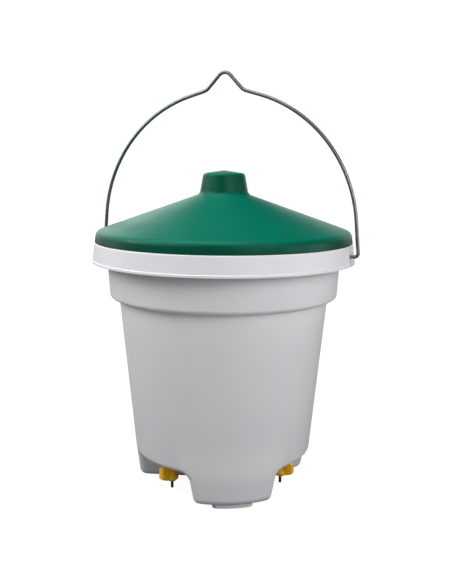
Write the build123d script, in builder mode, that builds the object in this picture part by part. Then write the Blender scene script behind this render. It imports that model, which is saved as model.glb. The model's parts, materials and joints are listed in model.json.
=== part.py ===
# Hanging nipple drinker bucket for poultry and rabbits: a tapered plastic pail on three hollow feet, a loose
# lid with a knob, a wire bail, and three drinking nipples in the recesses between the feet.
#
# The pail is one moulding. It is written as four solids that meet face to face: base, wall, collar and skirt.
#
# Frame: millimetres, +Z up, origin on the pail's axis at the level of the foot pads.
# The bail's two pivots lie on the X axis. The first nipple lies on +X, the others at +/-120 degrees.
from build123d import *
import math
import os

os.makedirs("parts", exist_ok=True)

# ---- Driving dimensions -------------------------------------------------------------------------------

# Pail
SKIRT_R = 150.0            # outer radius of the skirt at its lower edge, the widest part of the moulding
WALL = 2.5                 # moulded wall thickness
FOOT_Z = 4.5               # underside of the feet, carried on the pads
STEP_Z = 219.0             # stacking step between body and collar
BODY_R_FOOT = 98.5         # outer radius of the body at FOOT_Z
BODY_TAPER = 0.099         # growth of the body's radius with height
COLLAR_R = 130.3           # outer radius of the collar just above the step
COLLAR_TAPER = 0.06
STEP_RISE = 2.5            # the step rises by this much from the body out to the collar
COLLAR_CORNER_R = 5.0
SHOULDER_Z = 285.7         # flat shoulder on which the lid rests
SKIRT_TOP_R = 147.3
SKIRT_Z = 263.7            # lower edge of the skirt
BEAD = 0.8                 # bead along the skirt's lower edge
BEAD_H = 3.0
SHOULDER_EDGE_R = 1.5
RIM_TOP_Z = 294.0          # top of the mouth's upstand, inside the lid
FOOT_CORNER_R = 9.0
BASE_TOP_Z = 46.0          # the base ends and the plain wall begins
WALL_TOP_Z = STEP_Z - 1    # the wall ends and the collar begins
LIP_R = 0.8                # rounding of the upstand's outer edge

# Recesses between the feet
NIPPLE_R = 73.0            # distance of the nipples from the axis
RECESS_ROOF_Z = 40.0
RECESS_APEX_R = 28.0       # where the two side walls of a recess would meet
RECESS_HALF_ANGLE = 44.0
RECESS_INNER_R = 14.0      # rounded inner end of a recess
RECESS_TOP_R = 12.0        # rounding between a recess's roof and its side walls
RECESS_MOUTH_R = 7.5       # rounding where a recess breaks through the body and the undersides of the feet
RECESS_DRAFT = 9.0         # slope of the recess walls, in degrees: the feet narrow towards the floor
RECESS_NEUTRAL_Z = 14.5    # height at which the walls would meet at RECESS_APEX_R
RECESS_REACH = 140.0       # radius at which the tools that cut the recesses end

# Pads under the feet
PAD_OUTER_R = 92.0
PAD_INNER_R = 64.0
PAD_HALF_ANGLE = 15.0
PAD_CORNER_R = 6.0
PAD_SINK = 0.5             # depth by which a pad runs into its foot

# Bail
WIRE_R = 2.0
PIVOT_Z = 274.7
PIVOT_HOLE_R = WIRE_R + 0.35
SLOT_DEPTH = 16.0          # radial length of the tools that cut holes and slots in the skirt
SLOT_W = 3.4               # snap-in slot from the skirt's edge up to the pivot hole
BAIL_R = 154.6             # centreline radius of the bow
BAIL_CENTRE_Z = 300.0
BAIL_FLARE = 5.0           # the straight arms spread by this angle, in degrees
BAIL_BEND_R = 4.0
HOOK_X = 140.0             # the wire's ends hook down inside the skirt
HOOK_DROP = 7.5
KINK_HALF_W = 23.5         # hanging kink in the middle of the bow
KINK_SLOPE = 1.02
KINK_FOOT_R = 16.0
KINK_TOP_R = 9.0

# Lid
LID_R = 146.8
LID_SIDE_TOP_R = 145.2
LID_CONE_R = 140.0         # the cone passes through this radius ...
LID_CONE_Z = 299.5         # ... at this height
LID_SLOPE = 0.354
LID_WALL = 2.4
LID_SHOULDER_R = 8.0
KNOB_FOOT_R = 26.9
KNOB_TOP_R = 22.6
KNOB_TOP_Z = 362.6
KNOB_APEX_Z = 366.0
KNOB_FOOT_FILLET = 3.0
KNOB_TOP_FILLET = 4.0
LID_RING_R = 129.0         # locating ring inside the mouth
LID_RING_Z = 284.0
LID_RING_T = 2.2

# Drinking nipple, heights above the floor
NIPPLE_BASE_Z = 13.2
COLLAR_CONE_Z = 16.6
COLLAR_TOP_Z = 19.8
NIPPLE_COLLAR_R = 7.3
COLLAR_CONE_H = 0.8        # height of the slope from the collar's top in to the neck
NECK_R = 6.0
FLANGE_Z = 35.0
FLANGE_R = 9.5
GASKET_T = 2.0
GASKET_R = 9.0
STEM_R = 4.9
STEM_TOP_Z = 53.0
GUIDE_R = 3.5              # bore above the valve seat
CHAMBER_R = 3.0
SEAT_Z = 27.0
SEAT_T = 3.0
SEAT_HOLE_R = 1.6
BALL_Z = 20.5              # centre of the trigger pin's ball
BALL_R = 2.6
TRIGGER_R = 1.6
TRIGGER_TIP_Z = 4.8
TRIGGER_GAP = 0.25         # play between the trigger pin and the poppet's push rod
TIP_R = 0.4
THROAT_R = 2.3             # narrowest opening, which keeps the ball in
MOUTH_R = 2.9              # flared opening that lets the trigger pin tilt
MOUTH_WALL = 0.8
WING_REACH = 15.5
WING_W = 8.0
WING_TOP_Z = 32.0
WING_ROOT_R = 6.8
WING_ROOT_Z = 15.2         # underside of the wing beside the collar ...
WING_FOOT_Z = 17.8         # ... and at its outer end
WING_SLANT = 3.0           # slanted outer corner at the top
WING_EDGE_R = 1.2
NUT_AF = 16.0
NUT_H = 6.0
POPPET_TRAVEL = 1.0
PUSH_ROD_R = 0.9
POPPET_STEM_R = 1.2
HEAD_R = 2.7
RING_R = 0.33              # section radius of the O-ring
RING_MID_R = 2.0
INLET_HOLE_R = 0.9
INLET_HOLE_AT_R = 2.03     # distance of the inlet holes from the cap's axis
THREAD_GAP = 0.1           # radial gap between the plain cylinders that stand for threads
HOLE_GAP = 0.3             # radial gap between a stem and the pail's hole
NUT_CHAMFER_RUN = 8.0      # radial length of the tool that chamfers a nut's corners
FIT = 0.1                  # radial running clearance

NIPPLE_ANGLES = [0.0, 120.0, -120.0]
FOOT_ANGLES = [60.0, 180.0, -60.0]


def body_r(z):
    """Outer radius of the pail's body at height z."""
    return BODY_R_FOOT + BODY_TAPER * (z - FOOT_Z)


def collar_r(z):
    """Outer radius of the collar at height z."""
    return COLLAR_R + COLLAR_TAPER * (z - STEP_Z)


def polar(radius, angle):
    """Point at a radius and an angle in degrees."""
    return (radius * math.cos(math.radians(angle)), radius * math.sin(math.radians(angle)))


def on_recess_mouth(edge):
    """True for an edge where a recess breaks through the outside or the inside of the body's wall."""
    middle = edge.position_at(0.5)
    outside = math.hypot(middle.X, middle.Y) > body_r(middle.Z) - WALL - 0.5
    ends = [edge.position_at(t) for t in (0, 1)]
    above_foot = min(end.Z for end in ends) > FOOT_Z + 1
    return outside and above_foot and middle.Z < RECESS_ROOF_Z + 10


def finish(part, name):
    """Label a finished piece and write it to its own file."""
    part.label = name
    export_step(part, f"parts/{name}.step")


# ---- Pail ---------------------------------------------------------------------------------------------


def recess_cutter(grow, top_z):
    """Wedge-shaped recess about the +X axis, its walls pushed out by grow, open below."""
    narrowing = (top_z - RECESS_NEUTRAL_Z) * math.tan(math.radians(RECESS_DRAFT))
    apex = RECESS_APEX_R - (grow - narrowing) / math.sin(math.radians(RECESS_HALF_ANGLE))
    spread = (RECESS_REACH - apex) * math.tan(math.radians(RECESS_HALF_ANGLE))
    with BuildPart(mode=Mode.PRIVATE) as cutter:
        with BuildSketch(Plane.XY.offset(top_z)):
            with BuildLine():
                Polyline((apex, 0), (RECESS_REACH, spread), (RECESS_REACH, -spread), close=True)
            make_face()
            inner = vertices().sort_by(Axis.X)[0]
            fillet(inner, radius=RECESS_INNER_R + grow - narrowing)
        extrude(amount=-top_z - 10, taper=-RECESS_DRAFT)
        roof = faces().sort_by(Axis.Z)[-1]
        walls = roof.edges().filter_by(lambda edge: edge.center().X < RECESS_REACH - 1)
        fillet(walls, radius=RECESS_TOP_R + grow)
    return cutter.part


# Outer form of the body, with the recesses cut out of it and their mouths rounded
with BuildPart() as body_form:
    with BuildSketch(Plane.XZ):
        with BuildLine():
            Polyline(
                (0, FOOT_Z),
                (BODY_R_FOOT, FOOT_Z),
                (body_r(STEP_Z), STEP_Z),
                (0, STEP_Z),
                close=True,
            )
        make_face()
        foot_corner = vertices().sort_by(Axis.X)[-2:].sort_by(Axis.Y)[0]
        fillet(foot_corner, radius=FOOT_CORNER_R)
    revolve(axis=Axis.Z)
    for angle in NIPPLE_ANGLES:
        add(Rot(0, 0, angle) * recess_cutter(0, RECESS_ROOF_Z), mode=Mode.SUBTRACT)
    fillet(edges().filter_by(on_recess_mouth), radius=RECESS_MOUTH_R)

# Collar, shoulder, skirt and upstand, all turned about the axis
with BuildPart() as rim_form:
    with BuildSketch(Plane.XZ) as collar_profile:
        with BuildLine():
            Polyline(
                (0, WALL_TOP_Z),
                (body_r(WALL_TOP_Z), WALL_TOP_Z),
                (COLLAR_R, STEP_Z + STEP_RISE),
                (collar_r(RIM_TOP_Z), RIM_TOP_Z),
                (0, RIM_TOP_Z),
                close=True,
            )
        make_face()
        collar_corner = vertices().filter_by_position(Axis.X, COLLAR_R - 1, COLLAR_R + 1)
        fillet(collar_corner.sort_by(Axis.Y)[0], radius=COLLAR_CORNER_R)
        fillet(vertices().sort_by(Axis.Y)[-2:].sort_by(Axis.X)[-1], radius=LIP_R)
    revolve(axis=Axis.Z)
    with BuildSketch(Plane.XZ) as skirt_profile:
        with BuildLine():
            Polyline(
                (COLLAR_R - WALL, SHOULDER_Z - WALL),
                (SKIRT_TOP_R - WALL, SHOULDER_Z - WALL),
                (SKIRT_R - BEAD - WALL, SKIRT_Z),
                (SKIRT_R, SKIRT_Z),
                (SKIRT_R, SKIRT_Z + BEAD_H - BEAD),
                (SKIRT_R - BEAD, SKIRT_Z + BEAD_H),
                (SKIRT_TOP_R, SHOULDER_Z),
                (COLLAR_R - WALL, SHOULDER_Z),
                close=True,
            )
        make_face()
        top_corner = vertices().sort_by(Axis.Y)[-2:].sort_by(Axis.X)[-1]
        fillet(top_corner, radius=SHOULDER_EDGE_R)
    revolve(axis=Axis.Z)

# Everything inside the pail's wall
with BuildPart() as inner_form:
    with BuildSketch(Plane.XZ):
        with BuildLine():
            Polyline(
                (0, FOOT_Z + WALL),
                (body_r(FOOT_Z + WALL) - WALL, FOOT_Z + WALL),
                (body_r(STEP_Z + WALL) - WALL, STEP_Z + WALL),
                (COLLAR_R - WALL, STEP_Z + WALL + STEP_RISE),
                (collar_r(RIM_TOP_Z + 1) - WALL, RIM_TOP_Z + 1),
                (0, RIM_TOP_Z + 1),
                close=True,
            )
        make_face()
        inner_corner = vertices().group_by(Axis.Y)[0].sort_by(Axis.X)[-1]
        fillet(inner_corner, radius=FOOT_CORNER_R - WALL)
    revolve(axis=Axis.Z)
    for angle in NIPPLE_ANGLES:
        cutter = Rot(0, 0, angle) * recess_cutter(WALL, RECESS_ROOF_Z + WALL)
        add(cutter, mode=Mode.SUBTRACT)
    fillet(edges().filter_by(on_recess_mouth), radius=RECESS_MOUTH_R - WALL)

with BuildPart() as bucket:
    add(body_form.part)
    add(rim_form.part)
    add(inner_form.part, mode=Mode.SUBTRACT)
    # foot pads
    with BuildSketch(Plane.XY) as pad_plan:
        with BuildLine():
            CenterArc((0, 0), PAD_OUTER_R, -PAD_HALF_ANGLE, 2 * PAD_HALF_ANGLE)
            CenterArc((0, 0), PAD_INNER_R, -PAD_HALF_ANGLE, 2 * PAD_HALF_ANGLE)
            for side in (-1, 1):
                Line(polar(PAD_INNER_R, side * PAD_HALF_ANGLE), polar(PAD_OUTER_R, side * PAD_HALF_ANGLE))
        make_face()
        fillet(vertices(), radius=PAD_CORNER_R)
    pad = extrude(pad_plan.sketch, amount=FOOT_Z + PAD_SINK, mode=Mode.PRIVATE)
    for angle in FOOT_ANGLES:
        add(Rot(0, 0, angle) * pad)
    # holes for the nipples
    for angle in NIPPLE_ANGLES:
        with Locations(Rot(0, 0, angle) * Pos(NIPPLE_R, 0, RECESS_ROOF_Z)):
            Cylinder(STEM_R + HOLE_GAP, 4 * WALL, mode=Mode.SUBTRACT)
    # pivot holes for the bail, each with its snap-in slot
    for side in (-1, 1):
        with Locations(Pos(side * (SKIRT_TOP_R - 1), 0, PIVOT_Z) * Rot(0, 90, 0)):
            Cylinder(PIVOT_HOLE_R, SLOT_DEPTH, mode=Mode.SUBTRACT)
        with Locations(Pos(side * (SKIRT_TOP_R - 1), 0, (PIVOT_Z + SKIRT_Z - 1) / 2)):
            Box(SLOT_DEPTH, SLOT_W, PIVOT_Z - SKIRT_Z + 1, mode=Mode.SUBTRACT)

# Everything within the collar's outer surface
with BuildPart() as collar_form:
    with BuildSketch(Plane.XZ):
        with BuildLine():
            Polyline(
                (0, 0),
                (collar_r(0), 0),
                (collar_r(RIM_TOP_Z + 1), RIM_TOP_Z + 1),
                (0, RIM_TOP_Z + 1),
                close=True,
            )
        make_face()
    revolve(axis=Axis.Z)

base_plane = Plane.XY.offset(BASE_TOP_Z)
wall_plane = Plane.XY.offset(WALL_TOP_Z)
upper = split(bucket.part, bisect_by=base_plane, keep=Keep.TOP)
rim = split(upper, bisect_by=wall_plane, keep=Keep.TOP)
finish(split(bucket.part, bisect_by=base_plane, keep=Keep.BOTTOM), "pail_base")
finish(split(upper, bisect_by=wall_plane, keep=Keep.BOTTOM), "pail_wall")
finish(rim & collar_form.part, "pail_collar")
finish(rim - collar_form.part, "pail_skirt")

# ---- Lid ----------------------------------------------------------------------------------------------


def lid_cone_z(radius):
    """Height of the lid's outer cone at a radius."""
    return LID_CONE_Z + LID_SLOPE * (LID_CONE_R - radius)


cone_lift = LID_WALL * math.hypot(1, LID_SLOPE)

with BuildPart() as lid:
    with BuildSketch(Plane.XZ) as lid_outside:
        with BuildLine():
            Polyline(
                (0, SHOULDER_Z),
                (LID_R, SHOULDER_Z),
                (LID_SIDE_TOP_R, lid_cone_z(LID_SIDE_TOP_R)),
                (KNOB_FOOT_R, lid_cone_z(KNOB_FOOT_R)),
                (KNOB_TOP_R, KNOB_TOP_Z),
                (0, KNOB_APEX_Z),
                close=True,
            )
        make_face()
        corners = vertices().filter_by_position(Axis.Y, SHOULDER_Z + 1, KNOB_TOP_Z + 1).sort_by(Axis.Y)
        fillet(corners[0], radius=LID_SHOULDER_R)
        fillet(corners[1], radius=KNOB_FOOT_FILLET)
        fillet(corners[2], radius=KNOB_TOP_FILLET)
    revolve(axis=Axis.Z)
    with BuildSketch(Plane.XZ) as lid_inside:
        with BuildLine():
            Polyline(
                (0, SHOULDER_Z - 1),
                (LID_R - LID_WALL, SHOULDER_Z - 1),
                (LID_SIDE_TOP_R - LID_WALL, lid_cone_z(LID_SIDE_TOP_R - LID_WALL) - cone_lift),
                (KNOB_FOOT_R - LID_WALL, lid_cone_z(KNOB_FOOT_R - LID_WALL) - cone_lift),
                (KNOB_TOP_R - LID_WALL, KNOB_TOP_Z - LID_WALL),
                (0, KNOB_APEX_Z - LID_WALL),
                close=True,
            )
        make_face()
        corners = vertices().filter_by_position(Axis.Y, SHOULDER_Z, KNOB_TOP_Z).sort_by(Axis.Y)
        fillet(corners[0], radius=LID_SHOULDER_R - LID_WALL)
        fillet(corners[1], radius=KNOB_FOOT_FILLET + LID_WALL)
    revolve(axis=Axis.Z, mode=Mode.SUBTRACT)
    # locating ring that drops into the mouth
    with BuildSketch(Plane.XZ) as ring_profile:
        with BuildLine():
            Polyline(
                (LID_RING_R - LID_RING_T, LID_RING_Z),
                (LID_RING_R - LID_RING_T / 4, LID_RING_Z),
                (LID_RING_R, LID_RING_Z + LID_RING_T),
                (LID_RING_R, lid_cone_z(LID_RING_R) - LID_WALL / 2),
                (LID_RING_R - LID_RING_T, lid_cone_z(LID_RING_R - LID_RING_T) - LID_WALL / 2),
                close=True,
            )
        make_face()
    revolve(axis=Axis.Z)

finish(lid.part, "lid")

# ---- Bail ---------------------------------------------------------------------------------------------

arm_turn = math.radians(BAIL_FLARE)
arm_top = (BAIL_R * math.cos(arm_turn), BAIL_CENTRE_Z + BAIL_R * math.sin(arm_turn))
arm_foot_x = arm_top[0] + (arm_top[1] - PIVOT_Z) * math.tan(arm_turn)
kink_foot_z = BAIL_CENTRE_Z + math.sqrt(BAIL_R**2 - KINK_HALF_W**2)
kink_foot_angle = math.degrees(math.acos(KINK_HALF_W / BAIL_R))
kink_top_z = kink_foot_z + KINK_SLOPE * KINK_HALF_W

with BuildPart() as bail:
    with BuildLine(Plane.XZ) as bail_path:
        for side in (-1, 1):
            Polyline(
                (side * HOOK_X, PIVOT_Z - HOOK_DROP),
                (side * HOOK_X, PIVOT_Z),
                (side * arm_foot_x, PIVOT_Z),
                (side * arm_top[0], arm_top[1]),
            )
            Line((side * KINK_HALF_W, kink_foot_z), (0, kink_top_z))
        bow_sweep = kink_foot_angle - BAIL_FLARE
        CenterArc((0, BAIL_CENTRE_Z), BAIL_R, BAIL_FLARE, bow_sweep)
        CenterArc((0, BAIL_CENTRE_Z), BAIL_R, 180 - BAIL_FLARE, -bow_sweep)
        bends = vertices().filter_by_position(Axis.Z, PIVOT_Z - 1, PIVOT_Z + 1)
        fillet(bends, radius=BAIL_BEND_R)
        kink_feet = vertices().filter_by_position(Axis.Z, kink_foot_z - 1, kink_foot_z + 1)
        fillet(kink_feet, radius=KINK_FOOT_R)
        fillet(vertices().sort_by(Axis.Z)[-1], radius=KINK_TOP_R)
    with BuildSketch(Plane(origin=(HOOK_X, 0, PIVOT_Z - HOOK_DROP), z_dir=(0, 0, 1))):
        Circle(WIRE_R)
    sweep(path=bail_path.wire())

finish(bail.part, "bail")

# ---- Drinking nipples ---------------------------------------------------------------------------------
# Each nipple is made once about the Z axis, at its real height, and then placed in each recess.

FLANGE_TOP_Z = RECESS_ROOF_Z - GASKET_T
SEAT_TOP_Z = SEAT_Z + SEAT_T
NUT_Z = RECESS_ROOF_Z + WALL
TRIGGER_TOP_Z = BALL_Z + 0.7 * BALL_R
HEAD_Z = SEAT_TOP_Z + 0.7            # underside of the poppet's head
HEAD_T = 1.4
BOSS_R = RING_MID_R - RING_R - 0.05  # boss under the head that carries the O-ring
BOSS_T = 0.5
GUIDE_Z = 44.0                       # underside of the poppet's guide disc
GUIDE_T = 1.5
GUIDE_GAP = 0.4                      # radial gap round the guide disc
POPPET_TOP_Z = 48.0
POPPET_CHAMFER = 0.4
CAP_FLANGE_T = 1.5

# Yellow body: drinking collar, neck, thumb wing, flange and threaded stem around one stepped bore
with BuildPart() as nipple_body:
    with BuildSketch(Plane.XZ):
        with BuildLine():
            Polyline(
                (0, NIPPLE_BASE_Z),
                (MOUTH_R + MOUTH_WALL, NIPPLE_BASE_Z),
                (NIPPLE_COLLAR_R, COLLAR_CONE_Z),
                (NIPPLE_COLLAR_R, COLLAR_TOP_Z),
                (NECK_R, COLLAR_TOP_Z + COLLAR_CONE_H),
                (NECK_R, FLANGE_Z - 1),
                (FLANGE_R, FLANGE_Z),
                (FLANGE_R, FLANGE_TOP_Z),
                (STEM_R, FLANGE_TOP_Z),
                (STEM_R, STEM_TOP_Z),
                (0, STEM_TOP_Z),
                close=True,
            )
        make_face()
    revolve(axis=Axis.Z)
    with BuildSketch(Plane.XZ):
        with BuildLine():
            Polyline(
                (NECK_R / 2, COLLAR_CONE_Z + 1),
                (WING_ROOT_R, WING_ROOT_Z),
                (WING_REACH, WING_FOOT_Z),
                (WING_REACH, WING_TOP_Z - WING_SLANT),
                (WING_REACH - WING_SLANT, WING_TOP_Z),
                (NECK_R / 2, WING_TOP_Z),
                close=True,
            )
        make_face()
    extrude(amount=WING_W / 2, both=True)
    wing_edges = edges().filter_by_position(Axis.X, WING_REACH - 4, WING_REACH + 1)
    fillet(wing_edges, radius=WING_EDGE_R)
    # throat that flares downwards, socket of the ball, chamber and guide bore
    with BuildSketch(Plane.XZ):
        with BuildLine():
            Polyline(
                (0, NIPPLE_BASE_Z),
                (MOUTH_R, NIPPLE_BASE_Z),
                (THROAT_R, BALL_Z - 1.5),
                (THROAT_R, BALL_Z),
                (CHAMBER_R, BALL_Z),
                (CHAMBER_R, SEAT_Z),
                (GUIDE_R, SEAT_Z),
                (GUIDE_R, STEM_TOP_Z),
                (0, STEM_TOP_Z),
                close=True,
            )
        make_face()
    revolve(axis=Axis.Z, mode=Mode.SUBTRACT)
    with Locations((0, 0, BALL_Z)):
        Sphere(BALL_R + FIT, mode=Mode.SUBTRACT)

# Rubber washer between the flange and the recess's roof
with BuildPart() as gasket:
    with BuildSketch(Plane.XY.offset(FLANGE_TOP_Z)):
        Circle(GASKET_R)
        Circle(STEM_R + THREAD_GAP, mode=Mode.SUBTRACT)
    extrude(amount=GASKET_T)

# Hexagonal nut inside the pail
with BuildPart() as lock_nut:
    with BuildSketch(Plane.XY.offset(NUT_Z)):
        RegularPolygon(NUT_AF / 2, 6, major_radius=False)
        Circle(STEM_R + THREAD_GAP, mode=Mode.SUBTRACT)
    extrude(amount=NUT_H)
    with BuildSketch(Plane.XZ):
        with BuildLine():
            Polyline(
                (NUT_AF / 2, NUT_Z + NUT_H),
                (NUT_AF / 2 + NUT_CHAMFER_RUN, NUT_Z + NUT_H),
                (NUT_AF / 2 + NUT_CHAMFER_RUN, NUT_Z + NUT_H - NUT_CHAMFER_RUN / 2),
                close=True,
            )
        make_face()
    revolve(axis=Axis.Z, mode=Mode.SUBTRACT)

# Steel seat pressed on the bore's shoulder
with BuildPart() as valve_seat:
    with BuildSketch(Plane.XY.offset(SEAT_Z)):
        Circle(GUIDE_R)
        Circle(SEAT_HOLE_R, mode=Mode.SUBTRACT)
    extrude(amount=SEAT_T)

# Cap that closes the stem, lets the water in and stops the poppet
cap_z = POPPET_TOP_Z + POPPET_TRAVEL + FIT
with BuildPart() as inlet_cap:
    with BuildSketch(Plane.XY.offset(cap_z)):
        Circle(GUIDE_R)
    extrude(amount=STEM_TOP_Z - cap_z)
    with BuildSketch(Plane.XY.offset(STEM_TOP_Z)):
        Circle(STEM_R)
    extrude(amount=CAP_FLANGE_T)
    fillet(edges().sort_by(Axis.Z)[-1], radius=CAP_FLANGE_T / 3)
    with BuildSketch(Plane.XY.offset(cap_z)):
        with PolarLocations(INLET_HOLE_AT_R, 3):
            Circle(INLET_HOLE_R)
    extrude(amount=STEM_TOP_Z + CAP_FLANGE_T - cap_z, mode=Mode.SUBTRACT)

# Steel poppet: push rod through the seat, boss for the O-ring, sealing head, stem and notched guide disc
with BuildPart() as poppet:
    with BuildSketch(Plane.XZ):
        with BuildLine():
            Polyline(
                (0, TRIGGER_TOP_Z + TRIGGER_GAP),
                (PUSH_ROD_R, TRIGGER_TOP_Z + TRIGGER_GAP),
                (PUSH_ROD_R, HEAD_Z - BOSS_T),
                (BOSS_R, HEAD_Z - BOSS_T),
                (BOSS_R, HEAD_Z),
                (HEAD_R, HEAD_Z),
                (HEAD_R, HEAD_Z + HEAD_T),
                (POPPET_STEM_R, HEAD_Z + HEAD_T + 1),
                (POPPET_STEM_R, GUIDE_Z),
                (GUIDE_R - GUIDE_GAP, GUIDE_Z),
                (GUIDE_R - GUIDE_GAP, GUIDE_Z + GUIDE_T),
                (POPPET_STEM_R, GUIDE_Z + GUIDE_T),
                (POPPET_STEM_R, POPPET_TOP_Z),
                (0, POPPET_TOP_Z),
                close=True,
            )
        make_face()
    revolve(axis=Axis.Z)
    with BuildSketch(Plane.XY.offset(GUIDE_Z)):
        with PolarLocations(GUIDE_R, 3):
            Circle(GUIDE_R / 2)
    extrude(amount=GUIDE_T, mode=Mode.SUBTRACT)
    chamfer(edges().sort_by(Axis.Z)[-1], length=POPPET_CHAMFER)

# O-ring under the poppet's head
with BuildPart() as valve_ring:
    with Locations((0, 0, HEAD_Z - RING_R)):
        Torus(RING_MID_R, RING_R)

# Black trigger pin: a ball with a flat top, hanging in the socket, and a straight shank
with BuildPart() as trigger_pin:
    with BuildSketch(Plane.XZ):
        with BuildLine():
            flat_r = math.sqrt(BALL_R**2 - (TRIGGER_TOP_Z - BALL_Z) ** 2)
            shank_top_z = BALL_Z - math.sqrt(BALL_R**2 - TRIGGER_R**2)
            Polyline(
                (TRIGGER_R, shank_top_z),
                (TRIGGER_R, TRIGGER_TIP_Z + TIP_R),
                (TRIGGER_R - TIP_R, TRIGGER_TIP_Z),
                (0, TRIGGER_TIP_Z),
                (0, TRIGGER_TOP_Z),
                (flat_r, TRIGGER_TOP_Z),
            )
            ThreePointArc((flat_r, TRIGGER_TOP_Z), (BALL_R, BALL_Z), (TRIGGER_R, shank_top_z))
        make_face()
    revolve(axis=Axis.Z)

nipple_pieces = {
    "body": nipple_body,
    "gasket": gasket,
    "lock_nut": lock_nut,
    "valve_seat": valve_seat,
    "inlet_cap": inlet_cap,
    "poppet": poppet,
    "valve_ring": valve_ring,
    "trigger_pin": trigger_pin,
}
for number, angle in enumerate(NIPPLE_ANGLES, start=1):
    place = Rot(0, 0, angle) * Pos(NIPPLE_R, 0, 0)
    for piece_name, piece in nipple_pieces.items():
        finish(place * piece.part, f"nipple_{number}_{piece_name}")
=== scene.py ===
"""Looks of a hanging drinker bucket: a pail on three hollow feet, a loose lid, a wire bail, three nipples.

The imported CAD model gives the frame. Shapes made here are written in millimetres about the pail's axis, and
are scaled to metres as their meshes are made.
"""

import json
import math

import bmesh
import bpy
from mathutils import Matrix, Vector


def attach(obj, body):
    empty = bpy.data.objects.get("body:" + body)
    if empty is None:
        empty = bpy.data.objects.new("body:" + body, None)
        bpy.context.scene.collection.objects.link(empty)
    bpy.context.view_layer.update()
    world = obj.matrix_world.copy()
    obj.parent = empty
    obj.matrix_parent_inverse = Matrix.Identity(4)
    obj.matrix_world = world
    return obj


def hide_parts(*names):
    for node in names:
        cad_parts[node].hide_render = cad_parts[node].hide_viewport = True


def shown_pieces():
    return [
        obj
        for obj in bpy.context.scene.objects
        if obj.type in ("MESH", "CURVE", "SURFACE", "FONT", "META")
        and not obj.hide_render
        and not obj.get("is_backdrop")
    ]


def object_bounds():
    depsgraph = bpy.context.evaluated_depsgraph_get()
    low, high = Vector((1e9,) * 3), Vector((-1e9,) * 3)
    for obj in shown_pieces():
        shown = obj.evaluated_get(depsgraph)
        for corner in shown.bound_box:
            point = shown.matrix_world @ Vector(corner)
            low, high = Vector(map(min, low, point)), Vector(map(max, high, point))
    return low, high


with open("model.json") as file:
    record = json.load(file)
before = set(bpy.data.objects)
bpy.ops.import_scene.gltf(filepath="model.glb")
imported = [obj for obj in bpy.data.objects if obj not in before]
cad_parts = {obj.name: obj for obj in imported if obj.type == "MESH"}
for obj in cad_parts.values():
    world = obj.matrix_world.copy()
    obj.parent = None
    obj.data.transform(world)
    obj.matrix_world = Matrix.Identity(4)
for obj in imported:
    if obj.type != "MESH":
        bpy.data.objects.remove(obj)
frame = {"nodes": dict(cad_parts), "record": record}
cad_low, cad_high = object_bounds()

MM = 0.001
SHARP_ANGLE = math.radians(32)   # an edge is sharp where its surface turns by more than this


# ---- Mesh tools ---------------------------------------------------------------------------------------


def arc_points(before, corner, after, radius, steps):
    """Points of the arc that rounds one corner of an outline."""
    to_before = (before - corner).normalized()
    to_after = (after - corner).normalized()
    half = math.acos(max(-1.0, min(1.0, to_before.dot(to_after)))) / 2
    if radius <= 0 or half > math.pi / 2 - 1e-3:
        return [corner]
    back = radius / math.tan(half)
    centre = corner + (to_before + to_after).normalized() * (radius / math.sin(half))
    start = corner + to_before * back - centre
    end = corner + to_after * back - centre
    turn = math.atan2(start.x * end.y - start.y * end.x, start.dot(end))
    points = []
    for step in range(steps + 1):
        angle = turn * step / steps
        cos, sin = math.cos(angle), math.sin(angle)
        points.append(centre + Vector((start.x * cos - start.y * sin, start.x * sin + start.y * cos)))
    return points


def outline(corners, closed=True, steps=6):
    """Outline through corners (x, z, radius), each rounded by its radius."""
    flat = [Vector(corner[:2]) for corner in corners]
    points = []
    for index, corner in enumerate(corners):
        if not closed and index in (0, len(corners) - 1):
            points.append(flat[index])
            continue
        after = flat[(index + 1) % len(flat)]
        points.extend(arc_points(flat[index - 1], flat[index], after, corner[2], steps))
    return points


def mesh_from(name, mesh):
    """Mesh data from a bmesh, with all its normals outwards."""
    bmesh.ops.recalc_face_normals(mesh, faces=mesh.faces)
    data = bpy.data.meshes.new(name)
    mesh.to_mesh(data)
    mesh.free()
    return data


def new_object(name, data):
    """Object with smooth faces, and sharp edges where its surface turns sharply."""
    data.shade_smooth()
    data.set_sharp_from_angle(angle=SHARP_ANGLE)
    made = bpy.data.objects.new(name, data)
    bpy.context.scene.collection.objects.link(made)
    return made


def turned(name, profile, segments, radius_at=None):
    """Closed surface turned about Z. radius_at(r, z, angle) may change the radius round the turn."""
    mesh = bmesh.new()
    rings = []
    for r, z in profile:
        if r < 1e-6:
            rings.append([mesh.verts.new((0, 0, z * MM))])
            continue
        ring = []
        for step in range(segments):
            angle = 2 * math.pi * step / segments
            here = (radius_at(r, z, angle) if radius_at else r) * MM
            ring.append(mesh.verts.new((here * math.cos(angle), here * math.sin(angle), z * MM)))
        rings.append(ring)
    for low, high in zip(rings, rings[1:] + rings[:1]):
        if len(low) == len(high) == 1:
            continue
        for step in range(segments):
            after = (step + 1) % segments
            below = (low[step % len(low)], low[after % len(low)])
            above = (high[after % len(high)], high[step % len(high)])
            mesh.faces.new(list(dict.fromkeys(below + above)))
    return mesh_from(name, mesh)


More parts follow.
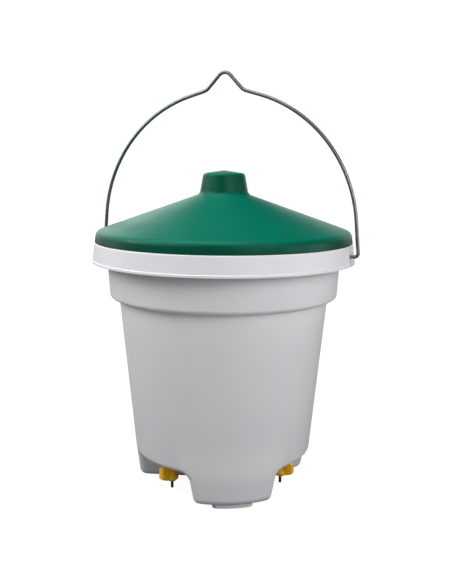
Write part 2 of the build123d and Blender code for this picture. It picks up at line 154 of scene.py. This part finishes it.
def wire(name, path, radius, sides, chamfer):
    """Round wire along a path in the XZ plane, with chamfered ends."""
    path = list(path)
    for end, inner in ((0, 1), (-1, -2)):
        shoulder = path[end] + (path[inner] - path[end]).normalized() * chamfer
        path.insert(1 if end == 0 else len(path) - 1, shoulder)
    mesh = bmesh.new()
    rings = []
    for index, point in enumerate(path):
        along = (path[min(index + 1, len(path) - 1)] - path[max(index - 1, 0)]).normalized()
        across = Vector((-along.y, along.x))
        thick = radius - chamfer if index in (0, len(path) - 1) else radius
        ring = []
        for side in range(sides):
            angle = 2 * math.pi * side / sides
            place = point + across * (thick * math.cos(angle))
            ring.append(mesh.verts.new((place.x * MM, thick * math.sin(angle) * MM, place.y * MM)))
        rings.append(ring)
    for low, high in zip(rings, rings[1:]):
        for side in range(sides):
            after = (side + 1) % sides
            mesh.faces.new((low[side], low[after], high[after], high[side]))
    mesh.faces.new(rings[0][::-1])
    mesh.faces.new(rings[-1])
    return mesh_from(name, mesh)


def plate(name, corners, width, bevel):
    """Flat plate with an outline in the XZ plane, half its width to each side, with rounded edges."""
    mesh = bmesh.new()
    near = [mesh.verts.new((x * MM, -width / 2 * MM, z * MM)) for x, z in corners]
    far = [mesh.verts.new((x * MM, width / 2 * MM, z * MM)) for x, z in corners]
    mesh.faces.new(near)
    mesh.faces.new(far[::-1])
    for index in range(len(corners)):
        after = (index + 1) % len(corners)
        mesh.faces.new((near[index], far[index], far[after], near[after]))
    bmesh.ops.recalc_face_normals(mesh, faces=mesh.faces)
    bmesh.ops.bevel(mesh, geom=mesh.edges[:], offset=bevel * MM, segments=4, affect="EDGES", profile=0.5)
    return mesh_from(name, mesh)


def combined(base, tool, operation):
    """Mesh data of one mesh after a boolean operation with another."""
    first = bpy.data.objects.new("first", base)
    second = bpy.data.objects.new("second", tool)
    for made in (first, second):
        bpy.context.scene.collection.objects.link(made)
    boolean = first.modifiers.new("boolean", "BOOLEAN")
    boolean.operation = operation
    boolean.solver = "EXACT"
    boolean.object = second
    result = bpy.data.meshes.new_from_object(first.evaluated_get(bpy.context.evaluated_depsgraph_get()))
    for made in (first, second):
        bpy.data.objects.remove(made)
    return result


# ---- Materials ----------------------------------------------------------------------------------------


class Nodes:
    """Short calls that build one material's node tree."""

    def __init__(self, name):
        self.material = bpy.data.materials.new(name)
        self.material.use_nodes = True
        self.tree = self.material.node_tree
        self.shader = self.tree.nodes["Principled BSDF"]
        self.place = self.tree.nodes.new("ShaderNodeTexCoord").outputs["Object"]

    def feed(self, value, socket):
        """Link an output to a socket, or set the socket to a constant."""
        if isinstance(value, bpy.types.NodeSocket):
            self.tree.links.new(value, socket)
        elif isinstance(value, tuple):
            socket.default_value = value + (1.0,)
        else:
            socket.default_value = value

    def stretched(self, x, y, z):
        """Object coordinates scaled along each axis."""
        mapping = self.tree.nodes.new("ShaderNodeMapping")
        mapping.inputs["Scale"].default_value = (x, y, z)
        self.feed(self.place, mapping.inputs["Vector"])
        return mapping.outputs["Vector"]

    def noise(self, scale, detail=4.0, roughness=0.55, vector=None):
        """Grey noise in object coordinates, or along another vector."""
        texture = self.tree.nodes.new("ShaderNodeTexNoise")
        texture.inputs["Scale"].default_value = scale
        texture.inputs["Detail"].default_value = detail
        texture.inputs["Roughness"].default_value = roughness
        self.feed(vector or self.place, texture.inputs["Vector"])
        return texture.outputs["Fac"]

    def ramp(self, value, low, high):
        """Colour ramp between two stops (position, colour or grey level)."""
        node = self.tree.nodes.new("ShaderNodeValToRGB")
        self.feed(value, node.inputs["Fac"])
        for element, (position, colour) in zip(node.color_ramp.elements, (low, high)):
            element.position = position
            element.color = (*colour, 1.0) if isinstance(colour, tuple) else (colour, colour, colour, 1.0)
        return node.outputs["Color"]

    def mix(self, factor, first, second):
        """Colour between first and second, by a factor from 0 to 1."""
        node = self.tree.nodes.new("ShaderNodeMix")
        node.data_type = "RGBA"
        for value, socket in ((factor, node.inputs[0]), (first, node.inputs[6]), (second, node.inputs[7])):
            self.feed(value, socket)
        return node.outputs[2]

    def times(self, first, second):
        """Product of two values."""
        node = self.tree.nodes.new("ShaderNodeMath")
        node.operation = "MULTIPLY"
        self.feed(first, node.inputs[0])
        self.feed(second, node.inputs[1])
        return node.outputs[0]

    def worn_edges(self, low, high):
        """1 on convex edges, 0 elsewhere."""
        pointiness = self.tree.nodes.new("ShaderNodeNewGeometry").outputs["Pointiness"]
        return self.ramp(pointiness, (low, 0.0), (high, 1.0))

    def upward_part(self, vector):
        """Z of a vector."""
        apart = self.tree.nodes.new("ShaderNodeSeparateXYZ")
        self.feed(vector, apart.inputs[0])
        return apart.outputs["Z"]

    def height(self, low, high):
        """Ramp along the height in metres, between two stops as in ramp."""
        return self.ramp(self.upward_part(self.place), low, high)

    def facing_up(self, low, high):
        """1 on faces that look up, 0 on upright ones."""
        normal = self.tree.nodes.new("ShaderNodeNewGeometry").outputs["Normal"]
        return self.ramp(self.upward_part(normal), (low, 0.0), (high, 1.0))

    def bump(self, *layers):
        """Bumps laid over each other, each (height, distance in metres, strength)."""
        normal = None
        for height, distance, strength in layers:
            node = self.tree.nodes.new("ShaderNodeBump")
            node.inputs["Distance"].default_value = distance
            node.inputs["Strength"].default_value = strength
            self.feed(height, node.inputs["Height"])
            if normal is not None:
                self.feed(normal, node.inputs["Normal"])
            normal = node.outputs["Normal"]
        self.feed(normal, self.shader.inputs["Normal"])


def pail_plastic():
    """Light grey polypropylene: cloudy, with upright scuffs and a soft grain, and painted shade that darkens
    it towards the base.
    """
    n = Nodes("pail_plastic")
    cloud = n.noise(9.0, detail=3.0)
    streaks = n.noise(38.0, detail=5.0, vector=n.stretched(1, 1, 0.08))
    tint = n.ramp(cloud, (0.3, (0.775, 0.77, 0.805)), (0.7, (0.815, 0.81, 0.845)))
    tint = n.mix(n.ramp(streaks, (0.45, 0.0), (0.75, 0.16)), tint, (0.75, 0.745, 0.745))
    # painted shade: the plastic is drawn darker towards the base, where less of the light from above reaches
    # it
    tint = n.mix(n.height((0.02, 0.5), (0.21, 0.0)), tint, (0.56, 0.565, 0.60))
    tint = n.mix(n.times(n.worn_edges(0.5, 0.56), 0.35), tint, (0.88, 0.88, 0.88))
    n.feed(tint, n.shader.inputs["Base Color"])
    scuffs = n.noise(420.0, detail=3.0, vector=n.stretched(1, 1, 0.15))
    n.feed(n.ramp(scuffs, (0.35, 0.34), (0.75, 0.47)), n.shader.inputs["Roughness"])
    n.shader.inputs["Specular IOR Level"].default_value = 0.35
    n.bump((n.noise(1400.0, detail=2.0), 0.00003, 0.35), (cloud, 0.0006, 0.12))
    return n.material


def lid_plastic():
    """Green semi-gloss polypropylene with painted light and shade: much paler on faces that look up, deeper
    green on upright ones; with faint scuffs.
    """
    n = Nodes("lid_plastic")
    cloud = n.noise(14.0, detail=3.0)
    # painted light and shade: faces that look up are painted much paler than upright ones, for the light from
    # above that falls on them
    shaded_side_tint = n.ramp(cloud, (0.3, (0.0003, 0.056, 0.029)), (0.7, (0.0006, 0.068, 0.037)))
    lit_top_tint = n.ramp(cloud, (0.3, (0.0003, 0.140, 0.087)), (0.7, (0.0006, 0.158, 0.101)))
    tint = n.mix(n.facing_up(0.25, 0.85), shaded_side_tint, lit_top_tint)
    n.feed(tint, n.shader.inputs["Base Color"])
    scuffs = n.noise(45.0, detail=2.0)
    n.feed(n.ramp(scuffs, (0.35, 0.34), (0.72, 0.40)), n.shader.inputs["Roughness"])
    n.shader.inputs["Specular IOR Level"].default_value = 0.2
    n.shader.inputs["Specular Tint"].default_value = (0.35, 1.0, 0.85, 1.0)
    n.bump((n.noise(60.0, detail=0.0), 0.00004, 0.3))
    return n.material


def wire_zinc():
    """Zinc-plated steel wire, drawn smooth, with dull patches."""
    n = Nodes("bail_wire")
    patches = n.noise(26.0, detail=3.0)
    tint = n.ramp(patches, (0.3, (0.18, 0.20, 0.215)), (0.7, (0.225, 0.245, 0.26)))
    n.feed(tint, n.shader.inputs["Base Color"])
    n.shader.inputs["Metallic"].default_value = 1.0
    n.feed(n.ramp(patches, (0.3, 0.34), (0.75, 0.44)), n.shader.inputs["Roughness"])
    n.bump((n.noise(160.0, detail=2.0), 0.00002, 0.15))
    return n.material


def moulded_plastic(name, dark, light, rough_low, rough_high):
    """Small moulded pieces: cloudy colour, paler worn edges, fine scuffs and grain."""
    n = Nodes(name)
    tint = n.ramp(n.noise(260.0, detail=3.0), (0.3, dark), (0.7, light))
    worn = tuple(min(1.0, 1.25 * level + 0.02) for level in light)
    tint = n.mix(n.times(n.worn_edges(0.52, 0.62), 0.35), tint, worn)
    n.feed(tint, n.shader.inputs["Base Color"])
    scuffs = n.noise(1500.0)
    n.feed(n.ramp(scuffs, (0.3, rough_low), (0.75, rough_high)), n.shader.inputs["Roughness"])
    n.shader.inputs["IOR"].default_value = 1.5
    n.bump((n.noise(3500.0, detail=2.0), 0.00002, 0.4))
    return n.material


def turned_steel():
    """Stainless steel with fine turning marks round the piece."""
    n = Nodes("valve_steel")
    marks = n.noise(5000.0, detail=2.0, vector=n.stretched(0.05, 0.05, 1))
    n.feed(n.ramp(marks, (0.3, (0.52, 0.53, 0.54)), (0.7, (0.68, 0.69, 0.70))), n.shader.inputs["Base Color"])
    n.shader.inputs["Metallic"].default_value = 1.0
    n.feed(n.ramp(marks, (0.3, 0.18), (0.7, 0.34)), n.shader.inputs["Roughness"])
    n.bump((marks, 0.00001, 0.4))
    return n.material


def seal_rubber():
    """Matte black rubber with a dusty bloom."""
    n = Nodes("seal_rubber")
    bloom = n.noise(600.0)
    n.feed(n.ramp(bloom, (0.35, 0.012), (0.75, 0.035)), n.shader.inputs["Base Color"])
    n.feed(n.ramp(bloom, (0.3, 0.62), (0.7, 0.8)), n.shader.inputs["Roughness"])
    n.bump((n.noise(2500.0), 0.00003, 0.5))
    return n.material


PIN_DARK = (0.006, 0.006, 0.006)
PIN_LIGHT = (0.014, 0.014, 0.014)

MATERIALS = {
    "pail_plastic": pail_plastic(),
    "lid_plastic": lid_plastic(),
    "bail_wire": wire_zinc(),
    "nipple_plastic": moulded_plastic("nipple_plastic", (1.0, 0.50, 0.001), (1.0, 0.58, 0.004), 0.36, 0.50),
    "nut_plastic": moulded_plastic("nut_plastic", (0.55, 0.55, 0.56), (0.64, 0.64, 0.64), 0.38, 0.52),
    "trigger_plastic": moulded_plastic("trigger_plastic", PIN_DARK, PIN_LIGHT, 0.36, 0.5),
    "valve_steel": turned_steel(),
    "seal_rubber": seal_rubber(),
}


def paint(piece, slot):
    """Give a piece the material of a slot of the record."""
    piece.data.materials.clear()
    piece.data.materials.append(MATERIALS[slot])


def dress(piece, body, node, slot):
    """A piece made here rides on a body, takes a slot's material and stands for a CAD node."""
    paint(piece, slot)
    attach(piece, body)
    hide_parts(node)


for subpart in frame["record"]["subparts"]:
    paint(frame["nodes"][subpart["node"]], subpart["material_slot"])

# ---- Pail ---------------------------------------------------------------------------------------------

STEP_JOIN_Z = 217.5            # the wall and the collar meet just above this height
STEP_END_Z = 236.0             # above this height the collar is plain
STEP_LIFT = 2.8                # the stacking step is drawn this much higher than in the CAD model
BODY_TAPER = 0.099


def step_lifted(node):
    """Copy of a CAD node's mesh, with what belongs to the stacking step moved up along the body's taper."""
    source = frame["nodes"][node]
    data = source.data.copy()
    data.transform(source.matrix_world)
    for vertex in data.vertices:
        if STEP_JOIN_Z * MM < vertex.co.z < STEP_END_Z * MM:
            radius = vertex.co.xy.length
            wider = (radius + STEP_LIFT * MM * BODY_TAPER) / radius
            vertex.co.x *= wider
            vertex.co.y *= wider
            vertex.co.z += STEP_LIFT * MM
    made = bpy.data.objects.new(f"{node}_looks", data)
    bpy.context.scene.collection.objects.link(made)
    return made


for node in ("pail_wall", "pail_collar"):
    dress(step_lifted(node), "pail", node, "pail_plastic")

# ---- Lid ----------------------------------------------------------------------------------------------

SHOULDER_Z = 285.7             # the lid rests on the pail's shoulder
LID_R = 146.8
LID_SIDE_TOP_R = 145.2
LID_CONE_R = 140.0
LID_CONE_Z = 299.5             # height of the cone at LID_CONE_R
LID_SLOPE = 0.354
LID_WALL = 2.4
KNOB_FOOT_R = 27.8
KNOB_TOP_R = 23.6
KNOB_TOP_Z = 362.6
KNOB_APEX_Z = 366.0
KNOB_TOP_ROUND = 4.0
KNOB_FOOT_ROUND = 7.0
LID_SHOULDER_ROUND = 8.0
RING_R = 129.0                 # locating ring inside the mouth
RING_Z = 284.0
RING_T = 2.2


def cone_z(radius, drop=0.0):
    """Height of the lid's outer cone at a radius, or of a surface that lies below it by drop."""
    return LID_CONE_Z + LID_SLOPE * (LID_CONE_R - radius) - drop


lid_drop = LID_WALL * math.hypot(1, LID_SLOPE)
side_in_r = LID_SIDE_TOP_R - LID_WALL
knob_in_r = KNOB_FOOT_R - LID_WALL
lid_profile = outline(
    (
        (0, KNOB_APEX_Z, 0),
        (KNOB_TOP_R, KNOB_TOP_Z, KNOB_TOP_ROUND),
        (KNOB_FOOT_R, cone_z(KNOB_FOOT_R), KNOB_FOOT_ROUND),
        (LID_SIDE_TOP_R, cone_z(LID_SIDE_TOP_R), LID_SHOULDER_ROUND),
        (LID_R, SHOULDER_Z, 0.9),
        (LID_R - LID_WALL, SHOULDER_Z, 0.4),
        (side_in_r, cone_z(side_in_r, lid_drop), 5.0),
        (RING_R, cone_z(RING_R, lid_drop), 0.8),
        (RING_R, RING_Z + RING_T, 0.8),
        (RING_R - RING_T / 4, RING_Z, 0.3),
        (RING_R - RING_T, RING_Z, 0.4),
        (RING_R - RING_T, cone_z(RING_R - RING_T, lid_drop), 0.8),
        (knob_in_r, cone_z(knob_in_r, lid_drop), 5.0),
        (KNOB_TOP_R - LID_WALL, KNOB_TOP_Z - LID_WALL, 1.0),
        (0, KNOB_APEX_Z - LID_WALL, 0),
    ),
    steps=10,
)
lid = new_object("lid_shell", turned("lid_shell", lid_profile, segments=256))
dress(lid, "lid", "lid", "lid_plastic")

# ---- Bail ---------------------------------------------------------------------------------------------

WIRE_R = 2.0
PIVOT_Z = 274.7
BAIL_R = 154.6
BAIL_CENTRE_Z = 300.0
BAIL_FLARE = math.radians(5)     # the arms spread by this much below the bow
BAIL_BEND_R = 4.0
HOOK_X = 140.0
HOOK_DROP = 7.5
KINK_HALF_W = 22.0
KINK_SLOPE = 1.07
KINK_LIFT = 1.5                # the bow rises a little towards the kink ...
KINK_GAP = math.radians(8)     # ... over its last stretch on each side
KINK_FOOT_R = 15.0
KINK_TOP_R = 9.0

arm_top = (BAIL_R * math.cos(BAIL_FLARE), BAIL_CENTRE_Z + BAIL_R * math.sin(BAIL_FLARE))
arm_foot_x = arm_top[0] + (arm_top[1] - PIVOT_Z) * math.tan(BAIL_FLARE)
kink_foot_z = BAIL_CENTRE_Z + math.sqrt(BAIL_R**2 - KINK_HALF_W**2) + KINK_LIFT
bow_end = math.acos(KINK_HALF_W / BAIL_R) - KINK_GAP
BOW_STEPS = 48
half = [
    (HOOK_X, PIVOT_Z - HOOK_DROP, 0),
    (HOOK_X, PIVOT_Z, BAIL_BEND_R),
    (arm_foot_x, PIVOT_Z, BAIL_BEND_R),
]
for step in range(BOW_STEPS + 1):
    angle = BAIL_FLARE + (bow_end - BAIL_FLARE) * step / BOW_STEPS
    half.append((BAIL_R * math.cos(angle), BAIL_CENTRE_Z + BAIL_R * math.sin(angle), 0))
half.append((KINK_HALF_W, kink_foot_z, KINK_FOOT_R))
kink_top = (0, kink_foot_z + KINK_SLOPE * KINK_HALF_W, KINK_TOP_R)
bail_corners = half + [kink_top] + [(-x, z, radius) for x, z, radius in reversed(half)]
bail_path = outline(bail_corners, closed=False, steps=8)
bail = new_object("bail_wire_bow", wire("bail_wire_bow", bail_path, WIRE_R, sides=28, chamfer=0.5))
dress(bail, "bail", "bail", "bail_wire")

# ---- Drinking nipples ---------------------------------------------------------------------------------

NIPPLE_ANGLES = (0.0, 120.0, -120.0)
NIPPLE_R = 73.0
STEM_R = 4.9
STEM_FOOT_Z = 38.0
STEM_TOP_Z = 53.0
THREAD_PITCH = 1.5
THREAD_DEPTH = 0.55
BALL_Z = 20.5
SOCKET_R = 2.7
THROAT_R = 2.3
NUT_Z = 42.5
NUT_H = 6.0
NUT_AF = 16.0


def thread_radius(r, z, angle):
    """Radius of the stem's thread; other surfaces keep theirs."""
    if abs(r - STEM_R) > 1e-6 or not STEM_FOOT_Z < z < STEM_TOP_Z:
        return r
    turn = (z / THREAD_PITCH - angle / (2 * math.pi)) % 1.0
    fade = min(1.0, (z - STEM_FOOT_Z) / THREAD_PITCH, (STEM_TOP_Z - z) / THREAD_PITCH)
    return r - THREAD_DEPTH * min(1.0, 1.6 * abs(2 * turn - 1)) * fade


def nipple_data():
    """The nipple's yellow body about the Z axis, with its bore, thread and thumb wing."""
    outside = outline(
        (
            (2.9, 13.2, 0),
            (3.7, 13.2, 0.3),
            (7.3, 16.6, 0.5),
            (7.3, 19.8, 0.35),
            (6.0, 20.6, 0.3),
            (6.0, 34.0, 0.5),
            (9.5, 35.0, 0.3),
            (9.5, STEM_FOOT_Z, 0.3),
            (STEM_R, STEM_FOOT_Z, 0),
        ),
        closed=False,
        steps=4,
    )
    rings = round(8 * (STEM_TOP_Z - STEM_FOOT_Z) / THREAD_PITCH)
    rise = (STEM_TOP_Z - STEM_FOOT_Z) / rings
    thread = [(STEM_R, STEM_FOOT_Z + rise * step) for step in range(1, rings + 1)]
    socket = []
    for step in range(7):
        r = SOCKET_R - (SOCKET_R - THROAT_R) * step / 6
        socket.append((r, BALL_Z - math.sqrt(SOCKET_R**2 - r**2)))
    bore = [(3.5, STEM_TOP_Z), (3.5, 27.0), (3.0, 27.0), (3.0, BALL_Z), *socket, (THROAT_R, 19.0)]
    body = turned("nipple", [tuple(p) for p in outside] + thread + bore, 64, thread_radius)
    wing_corners = ((4.3, 16.0), (6.8, 15.2), (15.5, 17.8), (15.5, 29.0), (12.5, 32.0), (4.3, 32.0))
    return combined(body, plate("wing", wing_corners, width=8.0, bevel=1.0), "UNION")


def nut_radius(r, z, angle):
    """Hexagon with its top corners chamfered; the bore stays round."""
    if r < NUT_AF / 2 - 1:
        return r
    sixth = math.pi / 3
    flat = NUT_AF / 2 / math.cos((angle + sixth / 2) % sixth - sixth / 2)
    return min(flat, NUT_AF / 2 + 2 * (NUT_Z + NUT_H - z), NUT_AF / 2 + 2 * (z - NUT_Z) + 0.6)


def nut_data():
    """Hexagonal nut about the Z axis."""
    side = [(NUT_AF / 2, NUT_Z + rise) for rise in (0, 0.1, 0.2, 0.3, 0.4)]
    side += [(NUT_AF / 2, NUT_Z + NUT_H - drop) for drop in (0.7, 0.6, 0.5, 0.4, 0.3, 0.2, 0.1, 0)]
    bore = [(5.3, NUT_Z + NUT_H), (5.0, NUT_Z + NUT_H - 0.3), (5.0, NUT_Z)]
    return turned("nut", side + bore, 72, nut_radius)


nipple_mesh = nipple_data()
nut_mesh = nut_data()
for number, degrees in enumerate(NIPPLE_ANGLES, start=1):
    place = Matrix.Rotation(math.radians(degrees), 4, "Z") @ Matrix.Translation((NIPPLE_R * MM, 0, 0))
    for mesh, kind, slot in ((nipple_mesh, "body", "nipple_plastic"), (nut_mesh, "lock_nut", "nut_plastic")):
        data = mesh.copy()
        data.transform(place)
        node = f"nipple_{number}_{kind}"
        dress(new_object(f"{node}_detail", data), "pail", node, slot)

# ---- Floor and lights ---------------------------------------------------------------------------------

CAMERA_AZIMUTH = math.radians(22.5)   # from -Y towards +X
LIGHT_DISTANCE = 1.6
LIT_HEIGHT = 0.22
FLOOR_R = 6.0
FLOOR_NEAR = 0.93              # radiance that the floor adds to its own picture beside the object
FLOOR_FAR = 1.05               # and away from the object
FLOOR_NEAR_R = 0.15
FLOOR_FAR_R = 0.55
FLOOR_DROP = 0.0002            # keeps the floor clear of the feet
WORLD_WHITE = 1.05             # radiance of the backdrop

floor_mesh = bmesh.new()
bmesh.ops.create_circle(floor_mesh, cap_ends=True, segments=64, radius=FLOOR_R)
floor = new_object("floor", mesh_from("floor", floor_mesh))
floor.location.z = cad_low.z - FLOOR_DROP
floor_look = Nodes("floor_white")
floor_look.feed((0.20, 0.20, 0.195), floor_look.shader.inputs["Base Color"])
floor_look.feed(0.9, floor_look.shader.inputs["Roughness"])
floor_look.feed((1.0, 1.0, 1.0), floor_look.shader.inputs["Emission Color"])
floor_look.feed(0.1, floor_look.shader.inputs["Specular IOR Level"])
radius_node = floor_look.tree.nodes.new("ShaderNodeVectorMath")
radius_node.operation = "LENGTH"
floor_look.feed(floor_look.place, radius_node.inputs[0])
white = floor_look.tree.nodes.new("ShaderNodeMapRange")
floor_look.feed(radius_node.outputs["Value"], white.inputs["Value"])
floor_look.feed(FLOOR_NEAR_R, white.inputs["From Min"])
floor_look.feed(FLOOR_FAR_R, white.inputs["From Max"])
floor_look.feed(FLOOR_NEAR, white.inputs["To Min"])
floor_look.feed(FLOOR_FAR, white.inputs["To Max"])
floor_seen = floor_look.tree.nodes.new("ShaderNodeLightPath").outputs["Is Camera Ray"]
glow = floor_look.times(white.outputs["Result"], floor_seen)
floor_look.feed(glow, floor_look.shader.inputs["Emission Strength"])
floor.data.materials.append(floor_look.material)
floor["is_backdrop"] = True


def softbox(name, azimuth, elevation, width, height, radiance):
    """Rectangular area light that faces the object from an azimuth and an elevation in degrees."""
    light = bpy.data.lights.new(name, "AREA")
    light.shape = "RECTANGLE"
    light.size = width
    light.size_y = height
    light.energy = radiance * math.pi * width * height
    lamp = bpy.data.objects.new(name, light)
    bpy.context.scene.collection.objects.link(lamp)
    turn, rise = math.radians(azimuth), math.radians(elevation)
    outwards = Vector((math.cos(rise) * math.cos(turn), math.cos(rise) * math.sin(turn), math.sin(rise)))
    lamp.location = Vector((0, 0, LIT_HEIGHT)) + LIGHT_DISTANCE * outwards
    lamp.rotation_euler = outwards.to_track_quat("Z", "Y").to_euler()


softbox("light_above", -150.0, 74.0, 1.4, 1.3, 2.6)
softbox("light_front_above", -60.0, 66.0, 0.9, 0.7, 1.7)
softbox("light_front_low", -84.0, 16.0, 0.9, 0.5, 0.5)
softbox("light_left", 204.0, 32.0, 0.8, 0.8, 4.8)
softbox("light_front_left", 240.0, 33.0, 0.85, 0.7, 3.1)
softbox("light_left_back", 150.0, 28.0, 1.4, 0.6, 1.4)
softbox("light_front_right", -36.0, 27.0, 1.2, 0.6, 3.9)
softbox("light_left_low", 188.0, 8.0, 0.7, 0.5, 1.6)
softbox("light_right_low", 6.0, 9.0, 1.3, 0.5, 3.8)
softbox("light_strip", -44.5, 6.0, 0.22, 0.5, 5.0)

# World: a white backdrop, which lights the object from low behind it
world = bpy.data.worlds.new("studio")
bpy.context.scene.world = world
world.use_nodes = True
tree = world.node_tree
direction = tree.nodes.new("ShaderNodeTexCoord").outputs["Generated"]


def world_ramp(along, low, high, low_strength, high_strength):
    """Strength that changes from low to high along a direction of the sky."""
    dot = tree.nodes.new("ShaderNodeVectorMath")
    dot.operation = "DOT_PRODUCT"
    dot.inputs[1].default_value = along
    tree.links.new(direction, dot.inputs[0])
    ramp = tree.nodes.new("ShaderNodeMapRange")
    ramp.interpolation_type = "SMOOTHSTEP"
    tree.links.new(dot.outputs["Value"], ramp.inputs["Value"])
    for value, socket in zip((low, high, low_strength, high_strength), tuple(ramp.inputs)[1:5]):
        socket.default_value = value
    return ramp.outputs["Result"]


def world_math(operation, first, second):
    """Result of a math node on two outputs of the world's tree."""
    node = tree.nodes.new("ShaderNodeMath")
    node.operation = operation
    tree.links.new(first, node.inputs[0])
    tree.links.new(second, node.inputs[1])
    return node.outputs[0]


view_direction = (-math.sin(CAMERA_AZIMUTH), math.cos(CAMERA_AZIMUTH), 0.0)
behind = world_ramp(view_direction, 0.35, 0.85, 0.0, 1.0)
level = world_ramp((0.0, 0.0, 1.0), 0.24, 0.42, WORLD_WHITE, 0.0)
lit = world_math("MULTIPLY", behind, level)
sky_seen = tree.nodes.new("ShaderNodeLightPath").outputs["Is Camera Ray"]
tree.links.new(world_math("MAXIMUM", lit, sky_seen), tree.nodes["Background"].inputs["Strength"])
tree.nodes["Background"].inputs["Color"].default_value = (1, 1, 1, 1)

# ---- Camera -------------------------------------------------------------------------------------------

DISTANCE = 0.9327              # from the pail's axis
EYE_Z = 0.3793
PITCH = 0.163                  # down
ROLL = 0.006
YAW = 0.0031

camera_data = bpy.data.cameras.new("camera")
camera_data.lens = 50.1
camera_data.sensor_width = 36.0
camera_data.sensor_fit = "AUTO"
camera_data.clip_start = 0.05
camera = bpy.data.objects.new("camera", camera_data)
bpy.context.scene.collection.objects.link(camera)
camera.matrix_world = (
    Matrix.Translation((DISTANCE * math.sin(CAMERA_AZIMUTH), -DISTANCE * math.cos(CAMERA_AZIMUTH), EYE_Z))
    @ Matrix.Rotation(CAMERA_AZIMUTH - YAW, 4, "Z")
    @ Matrix.Rotation(math.pi / 2 - PITCH, 4, "X")
    @ Matrix.Rotation(ROLL, 4, "Z")
)
bpy.context.scene.camera = camera
bpy.context.scene.view_settings.view_transform = "Standard"

# ---- Sizes --------------------------------------------------------------------------------------------


def shown_box():
    """Box of everything shown that belongs to the object."""
    bpy.context.view_layer.update()
    corners = []
    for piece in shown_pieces():
        corners.extend(piece.matrix_world @ vertex.co for vertex in piece.data.vertices)
    return [[pick(corner[axis] for corner in corners) for axis in range(3)] for pick in (min, max)]


sizes = {"cad": [list(cad_low), list(cad_high)], "shown": shown_box()}
